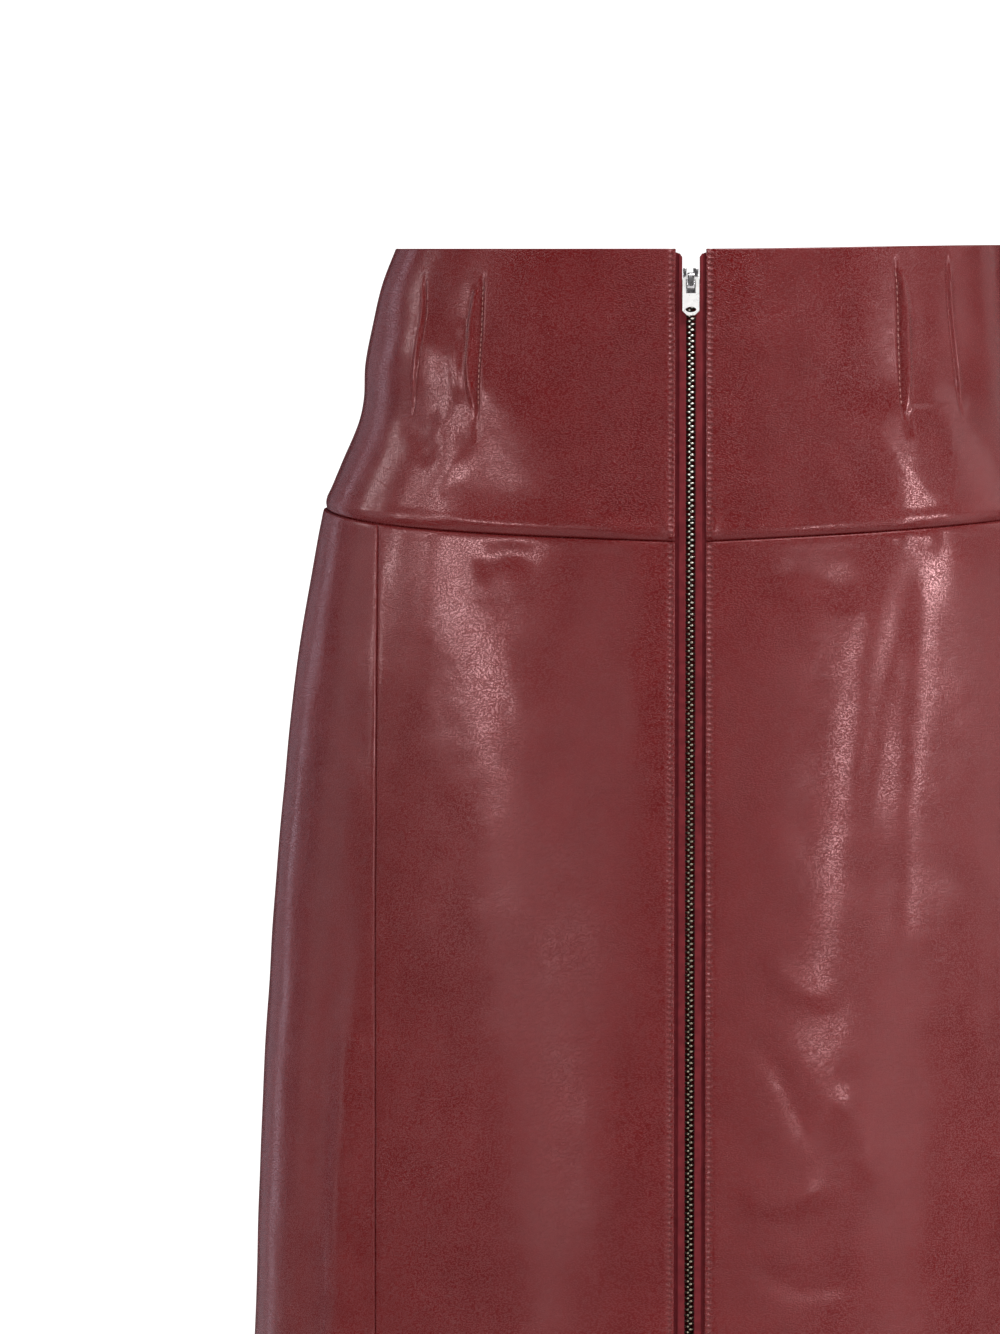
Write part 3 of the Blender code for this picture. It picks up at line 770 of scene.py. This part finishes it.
def tooth_shape(side):
    """A tooth from its clamp on the tape to its tip, with a head in front whose pale colour is a painted
    glint.
    """
    mesh = bpy.data.meshes.new("tooth")
    bm = bmesh.new()
    bmesh.ops.create_cube(bm, size=1.0)
    bmesh.ops.scale(bm, vec=(0.00285, 0.00112, CHAIN_DEPTH - 0.0003), verts=bm.verts)
    bmesh.ops.translate(bm, vec=(side * 0.00088, 0.0, -(CHAIN_DEPTH + 0.0003) / 2), verts=bm.verts)
    for vert in bm.verts:
        if vert.co.x * side < 0 or vert.co.x * side > 0.002:
            vert.co.y *= 0.72
    front = [e for e in bm.edges if all(v.co.z > -CHAIN_DEPTH / 2 for v in e.verts)]
    bmesh.ops.bevel(bm, geom=front, offset=0.00028, segments=1, profile=0.5, affect="EDGES", material=-1)
    body = list(bm.faces)
    # the head carries a painted glint, larger on the teeth of the left tape
    half_x, half_y = (0.00080, 0.00050) if side > 0 else (0.00052, 0.00050)
    swell = Matrix.Diagonal((half_x, half_y, 0.00036, 1.0))
    head = Matrix.Translation((side * 0.00060, 0.0, -0.00033)) @ swell
    bmesh.ops.create_uvsphere(bm, u_segments=8, v_segments=5, radius=1.0, matrix=head)
    for face in bm.faces:
        face.smooth = face not in body
        face.material_index = 0 if face in body else 1
    bm.to_mesh(mesh)
    bm.free()
    return mesh


def teeth():
    """Both rows of teeth, one piece on each tape, set in turn."""
    places = {1: [], -1: []}
    count = int((CHAIN_BOTTOM - CHAIN_TOP) / (PITCH / 2))
    for i in range(count):
        places[1 if i % 2 else -1].append(zip_frame(CHAIN_TOP + PITCH / 4 + i * PITCH / 2, CHAIN_SINK))
    return [
        repeat("zip_teeth_left", tooth_shape(1), places[1]),
        repeat("zip_teeth_right", tooth_shape(-1), places[-1]),
    ]


def worn_block(bm, low, high, place, corner, rim):
    """A plate with rounded corners and eased edges, added to bm."""
    size, middle = Vector(high) - Vector(low), (Vector(high) + Vector(low)) / 2
    shape = Matrix.Translation(middle) @ Matrix.Diagonal((*size, 1.0))
    faces = set(bm.faces)
    made = set(bmesh.ops.create_cube(bm, size=1.0, matrix=shape)["verts"])
    edges = [e for e in bm.edges if e.verts[0] in made]
    upright = [e for e in edges if abs(e.verts[0].co.z - e.verts[1].co.z) > size.z / 2]
    bmesh.ops.bevel(
        bm, geom=upright, offset=corner, segments=3, profile=0.5, affect="EDGES", material=-1
    )
    edges = [e for e in bm.edges if e.link_faces[0] not in faces]
    outline = [e for e in edges if e.calc_face_angle(0.0) > 1.2]
    bmesh.ops.bevel(bm, geom=outline, offset=rim, segments=2, profile=0.5, affect="EDGES", material=-1)
    verts = [v for v in bm.verts if v.link_faces[0] not in faces]
    bmesh.ops.transform(bm, matrix=place, verts=verts)
    for face in bm.faces:
        face.smooth = True


def slider_plates(place):
    """Front and back plates joined by a wedge, with a flange down each side."""
    bm = bmesh.new()
    half, rise = SLIDER_HALF, SLIDER_RISE
    for back, front in ((PLATE_BACK, PLATE_FRONT), (BACK_BACK, BACK_FRONT)):
        worn_block(bm, (-half, -rise, back), (half, rise, front), place, 0.0009, 0.0002)
    low, high = (-WEDGE_HALF, WEDGE_LOW, BACK_FRONT - 0.0002), (WEDGE_HALF, rise - 0.0002, 0.0)
    worn_block(bm, low, high, place, 0.0003, 0.0001)
    for side in (1, -1):
        left, right = sorted((side * half, side * (half - FLANGE)))
        low, high = (left, -rise + 0.0009, FLANGE_FOOT), (right, rise - 0.0009, 0.0)
        worn_block(bm, low, high, place, 0.0002, 0.0001)
    return piece_of("slider_plates", bm)


def slider_bail(place):
    """The arch that holds the pull tab: a strip bent over the front plate."""
    inner = BAIL_WALL / 2
    low, high, front, bend = BAIL_LOW + inner, NOSE_TOP - inner, BAIL_FRONT - inner, 0.0011
    foot = PLATE_BACK + 0.0002
    angles = np.radians([0, 30, 60, 90])
    turns = [(bend * (1 - math.cos(a)), front - bend * (1 - math.sin(a))) for a in angles]
    path = [(low, foot), (low, (front - bend) / 2)]
    path += [(low + along, out) for along, out in turns]
    path += [(high - along, out) for along, out in reversed(turns)]
    path += [(high, (front - bend) / 2), (high, foot)]
    bm = bmesh.new()
    bmesh.ops.create_grid(bm, x_segments=4, y_segments=len(path) - 1, size=0.5)
    for i, vert in enumerate(bm.verts):
        up, out = path[i // 5]
        vert.co = place @ Vector(((i % 5 - 2) / 2 * (BAIL_HALF - 0.0001), up, out))
    for face in bm.faces:
        face.smooth = True
    bail = piece_of("slider_bail", bm, BAIL_WALL)
    bail.modifiers["hide"].offset = 0.0
    eased = bail.modifiers.new("eased", "BEVEL")
    eased.width, eased.segments, eased.limit_method = 0.00022, 2, "ANGLE"
    return bail


def stop_block(name, low_x, high_x, drop):
    """A metal stop clamped over the tape's edge."""
    bm = bmesh.new()
    half = STOP_RISE / 2
    low, high = (low_x, -half, -CHAIN_SINK - CHAIN_DEPTH), (high_x, half, -CHAIN_SINK)
    worn_block(bm, low, high, zip_frame(drop + half), 0.0005, 0.0002)
    return piece_of(name, bm)


def stitch_shape(length, radius):
    """One stitch, a slim bead along its row."""
    mesh = bpy.data.meshes.new("stitch")
    bm = bmesh.new()
    size = Matrix.Diagonal((radius, length / 2, radius, 1.0)) @ Matrix.Rotation(math.pi / 2, 4, "X")
    bmesh.ops.create_uvsphere(bm, u_segments=7, v_segments=6, radius=1.0, matrix=size)
    for face in bm.faces:
        face.smooth = True
    bm.to_mesh(mesh)
    bm.free()
    return mesh


def topstitch_places(side):
    """Down the front edge, with a break at the seam below the yoke."""
    seam = -float(yoke_z(np.array(side * 0.04)))
    drop = 0.0034 + np.arange(int((LENGTH - 0.006) / STITCH)) * STITCH
    drop = drop[np.abs(drop - seam) > STITCH_BREAK]
    slack = np.random.default_rng(5 + side).uniform(-1.0, 1.0, (3, len(drop)))
    across = ZIP_EDGE + TOPSTITCH + 0.00012 * slack[0]
    places = skin_frames(turn_at(side * across, -drop), -drop)
    for i, place in enumerate(places):
        lift = Matrix.Translation((0.0, 0.0002 * slack[1, i], -0.00010 + 0.00012 * slack[2, i]))
        length = Matrix.Diagonal((1.0, 0.9 + 0.16 * slack[0, i], 1.0, 1.0))
        places[i] = place @ lift @ Matrix.Rotation(0.3 * slack[1, i], 4, "Z") @ length
    return places


def tuck_stitch_places(tuck):
    """Down the stitched line of a tuck, evenly spaced."""
    path = np.array(smooth_path(tuck.stitched, "front"))
    points = leather(path[:, 0], path[:, 1])
    passed = np.concatenate(([0.0], np.cumsum(np.linalg.norm(np.diff(points, axis=0), axis=1))))
    at = passed[-1] * np.linspace(0.05, 0.93, tuck.stitches)
    turn, z = np.interp(at, passed, path[:, 0]), np.interp(at, passed, path[:, 1])
    along = plain(turn, z + 0.001) - plain(turn, z)
    return skin_frames(turn, z, 0.00030, along)


# ---- leather pieces ----
NEAR_ZIP = (0.0012, 0.0017, 0.0022, 0.003)  # extra lines beside an edge, as insets from it
NEAR_PANEL_SEAM = (0.0012, 0.002, 0.003)
NEAR_YOKE_SEAM = (0.001, 0.0017, 0.0025)
NEAR_WAIST = (0.001, 0.002)


def seamed(count, near_low=(), near_high=()):
    """Columns between two seams."""
    return stations([count], SEAM_ALLOWANCE, SEAM_ALLOWANCE, near_low, near_high)


def panel_rows(count):
    """Rows from the seam under the yoke to the hem, closer together at the top."""
    span, share, inset, depth = stations([count], SEAM_ALLOWANCE, HEM_ALLOWANCE, NEAR_YOKE_SEAM)
    return span, share**1.15, inset, depth


def leather_pieces():
    """Every leather piece, by the solid that it stands for."""
    yoke_columns = stations([46, 88, 34], SEAM_ALLOWANCE, SEAM_ALLOWANCE, NEAR_ZIP)
    yoke_rows = stations([104], WAIST_ALLOWANCE, SEAM_ALLOWANCE, NEAR_WAIST, NEAR_YOKE_SEAM)
    back_yoke_rows = stations([56], WAIST_ALLOWANCE, SEAM_ALLOWANCE)
    front_columns = seamed(88, NEAR_ZIP, NEAR_PANEL_SEAM)
    side_columns = seamed(76, NEAR_PANEL_SEAM, NEAR_PANEL_SEAM)
    yoke, panel = (waist_z, yoke_z), (under_yoke_z, hem_z)
    made = {}
    for word, side in SIDES:
        name = "front_yoke_%s_leather" % word
        made["yoke_front_" + word] = sheet(name, side, yoke_marks(side), yoke_columns, yoke_rows, *yoke)
    made["yoke_back"] = sheet("back_yoke_leather", 1, back_yoke_marks, seamed(130), back_yoke_rows, *yoke)
    for word, side in SIDES:
        front, flank = "front_%s" % word, "side_%s" % word
        made[front] = sheet(front + "_leather", side, front_marks, front_columns, panel_rows(240), *panel)
        made[flank] = sheet(flank + "_leather", side, side_marks, side_columns, panel_rows(180), *panel)
    made["back"] = sheet("back_leather", 1, back_marks, seamed(96), panel_rows(180), *panel)
    return made


# ---- studio ----
CAMERA_FAR, CAMERA_LENS = 3.0, 184.0
CAMERA_YAW, CAMERA_PITCH = -1.6016, -3.5141
LIGHTS_MIDDLE = (0.0, 0.0, -0.22)
FLOOR_Z, FLOOR_RADIUS = -0.7225, 1.4
# Each box stands off from the middle of the skirt's front and faces it, turned in its plane by lean.
WHITE, VIOLET = (1.0, 1.0, 1.0), (0.96, 0.84, 1.0)
SoftBox = namedtuple("SoftBox", "name azimuth elevation far wide tall lean power colour")
SOFT_BOXES = [
    SoftBox("strip_right_high", -51, 9.5, 2.2, 0.28, 1.05, 74, 14.0, WHITE),
    SoftBox("strip_right_low", -30, -3, 2.2, 0.50, 0.80, 60, 2.4, WHITE),
    SoftBox("low_right", -18, 2, 2.2, 0.60, 0.80, 0, 1.8, WHITE),
    SoftBox("strip_left_inner", 31, 3, 2.2, 0.20, 0.66, -50, 6.6, WHITE),
    SoftBox("strip_left_outer", 55, 5, 2.2, 0.16, 0.60, -50, 5.6, WHITE),
    SoftBox("strip_left_low", 42, -7, 2.2, 0.50, 0.30, 0, 1.2, WHITE),
    SoftBox("low_left", 14, -2, 2.2, 0.70, 0.80, 0, 1.8, WHITE),
    SoftBox("broad_left_low", 78, -4, 2.2, 0.90, 1.20, 0, 6.5, WHITE),
    SoftBox("yoke_right", -70, 40, 2.2, 0.60, 0.30, 5, 4.0, WHITE),
    SoftBox("patch_right", -84, 13, 2.2, 0.20, 0.60, 0, 4.2, WHITE),
    SoftBox("welt_right", -73, 18, 2.2, 0.20, 0.60, 0, 4.2, WHITE),
    SoftBox("yoke_left", 61, 14, 2.2, 0.42, 0.24, 0, 9.0, WHITE),
    SoftBox("yoke_middle", 28, 24, 2.2, 0.80, 0.50, 0, 0.8, WHITE),
    SoftBox("broad_left", 96, 24, 2.3, 0.90, 0.80, 0, 5.5, WHITE),
    SoftBox("flank_right", -100, 4, 2.3, 0.70, 1.20, 0, 1.6, WHITE),
    SoftBox("tuck_edge", -107, 20, 2.3, 0.34, 0.40, 0, 2.6, WHITE),
    SoftBox("far_right", -130, 2, 2.4, 0.26, 1.80, 0, 3.0, VIOLET),
    SoftBox("rim_right", -146, 4, 2.4, 0.60, 2.20, 0, 1.8, VIOLET),
    SoftBox("rim_left", 122, 8, 2.4, 0.80, 1.60, 0, 4.0, WHITE),
    SoftBox("edge_light", 0, 52, 2.8, 0.60, 0.20, 0, 6.0, WHITE),
    SoftBox("top_box", 50, 68, 3.1, 2.20, 1.40, 0, 104.0, WHITE),
]


def add_camera():
    data = bpy.data.cameras.new("camera")
    data.sensor_width = 36.0
    data.lens = CAMERA_LENS
    data.clip_end = 50.0
    camera = bpy.data.objects.new("camera", data)
    camera.location = (0.0, -CAMERA_FAR, 0.0)
    yaw, pitch = math.radians(CAMERA_YAW), math.radians(CAMERA_PITCH)
    level = math.cos(pitch)
    view = Vector((math.sin(yaw) * level, math.cos(yaw) * level, math.sin(pitch)))
    camera.rotation_euler = view.to_track_quat("-Z", "Y").to_euler()
    bpy.context.collection.objects.link(camera)
    bpy.context.scene.camera = camera


def add_backdrop():
    """White behind the skirt, and a faint light from all round."""
    world = bpy.data.worlds.new("studio")
    bpy.context.scene.world = world
    world.use_nodes = True
    tree = world.node_tree
    faint = tree.nodes["Background"]
    faint.inputs["Color"].default_value = (1.0, 0.84, 0.94, 1.0)
    faint.inputs["Strength"].default_value = 0.02
    white = tree.nodes.new("ShaderNodeBackground")
    white.inputs["Color"].default_value = (1.0, 1.0, 1.0, 1.0)
    white.inputs["Strength"].default_value = 1.2
    seen = tree.nodes.new("ShaderNodeLightPath")
    choose = tree.nodes.new("ShaderNodeMixShader")
    tree.links.new(seen.outputs["Is Camera Ray"], choose.inputs[0])
    tree.links.new(faint.outputs[0], choose.inputs[1])
    tree.links.new(white.outputs[0], choose.inputs[2])
    tree.links.new(choose.outputs[0], tree.nodes["World Output"].inputs["Surface"])


def add_soft_box(made):
    data = bpy.data.lights.new(made.name, "AREA")
    data.shape = "RECTANGLE"
    data.size, data.size_y, data.energy, data.color = made.wide, made.tall, made.power, made.colour
    box = bpy.data.objects.new(made.name, data)
    azimuth, elevation = math.radians(made.azimuth), math.radians(made.elevation)
    level = math.cos(elevation)
    away = Vector((level * math.sin(azimuth), -level * math.cos(azimuth), math.sin(elevation)))
    box.location = Vector(LIGHTS_MIDDLE) + made.far * away
    roll = Matrix.Rotation(math.radians(made.lean), 4, "Z")
    box.rotation_euler = ((-away).to_track_quat("-Z", "Y").to_matrix().to_4x4() @ roll).to_euler()
    bpy.context.collection.objects.link(box)


def add_floor():
    bm = bmesh.new()
    bmesh.ops.create_circle(bm, cap_ends=True, segments=96, radius=FLOOR_RADIUS)
    bmesh.ops.translate(bm, vec=(0.0, 0.0, FLOOR_Z), verts=bm.verts)
    floor = piece_of("floor", bm)
    floor.data.materials.append(shader("pale_floor", (0.82, 0.82, 0.82), 0.7))


def studio():
    add_camera()
    add_backdrop()
    bpy.context.scene.view_settings.view_transform = "Standard"
    for made in SOFT_BOXES:
        add_soft_box(made)
    add_floor()


# ---- build ----
LEATHER, TAPE = grained_leather(), woven_tape()
THREAD = thread("thread", (0.08, 0.007, 0.007), (0.24, 0.050, 0.045))
# a pale copy of the thread: the shine of the tuck stitches is painted into its colour
TUCK_THREAD_PAINTED_SHINE = thread("tuck_thread_painted_shine", (0.20, 0.060, 0.055), (0.60, 0.34, 0.31))
# tooth bodies near-black: painted shade; tooth heads near-white: a painted glint
TOOTH_SHADE = antique_brass("antique_brass", (0.022, 0.015, 0.012), (0.040, 0.030, 0.024), 0.5)
TOOTH_GLINT = antique_brass("tooth_painted_glint", (0.20, 0.155, 0.10), (0.97, 0.94, 0.86), 0.30)
NICKEL = metal("nickel", (0.55, 0.54, 0.55), 0.22)
# pull tab: nickel with the white studio's reflection painted into a near-white, barely metallic colour
NICKEL_PAINTED_REFLECTION = metal("bright_nickel", (0.93, 0.92, 0.90), 0.30, 0.35)

# widest, longest and area of each cut, with its allowances
Cut = namedtuple("Cut", "width length area")
# node, the clamp's sides across the zip, and the drop of its upper end
STOPS = (
    ("top_stop_left", 0.0009, 0.0032, TOP_STOP_DROP),
    ("top_stop_right", -0.0034, -0.0018, TOP_STOP_DROP),
    ("bottom_stop", -0.0016, 0.0016, BOTTOM_STOP_DROP),
)


def finish(piece, node, slot, *materials):
    """Give a piece its materials and its body, and hide the solid that it stands for, if any; slot is not
    used.
    """
    for material in materials:
        piece.data.materials.append(material)
    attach(piece, "skirt")
    if node:
        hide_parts(node)


sheets = leather_pieces()
for node, piece in sheets.items():
    finish(piece, node, "burgundy_leather", LEATHER)
for word, side in SIDES:
    node = "tape_" + word
    sheets[node] = tape("zip_" + node, side)
    finish(sheets[node], node, "zip_tape", TAPE)
    row = repeat("topstitch_" + word, stitch_shape(0.0019, 0.00026), topstitch_places(side))
    finish(row, None, "burgundy_leather", THREAD)
places = [place for tuck in TUCKS if tuck.stitches for place in tuck_stitch_places(tuck)]
tuck_rows = repeat("tuck_stitches", stitch_shape(0.0015, 0.00026), places)
finish(tuck_rows, None, "burgundy_leather", TUCK_THREAD_PAINTED_SHINE)
for piece in teeth():
    finish(piece, "zip_chain", "antique_brass", TOOTH_SHADE, TOOTH_GLINT)
slider_place = zip_frame(SLIDER_DROP)
for piece in (slider_plates(slider_place), slider_bail(slider_place)):
    finish(piece, "slider", "nickel", NICKEL)
for node, low_x, high_x, drop in STOPS:
    finish(stop_block(node + "_clamp", low_x, high_x, drop), node, "nickel", NICKEL)
pull_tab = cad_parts["pull_tab"]
pull_tab.data.materials.clear()
pull_tab.data.materials.append(NICKEL_PAINTED_REFLECTION)

studio()
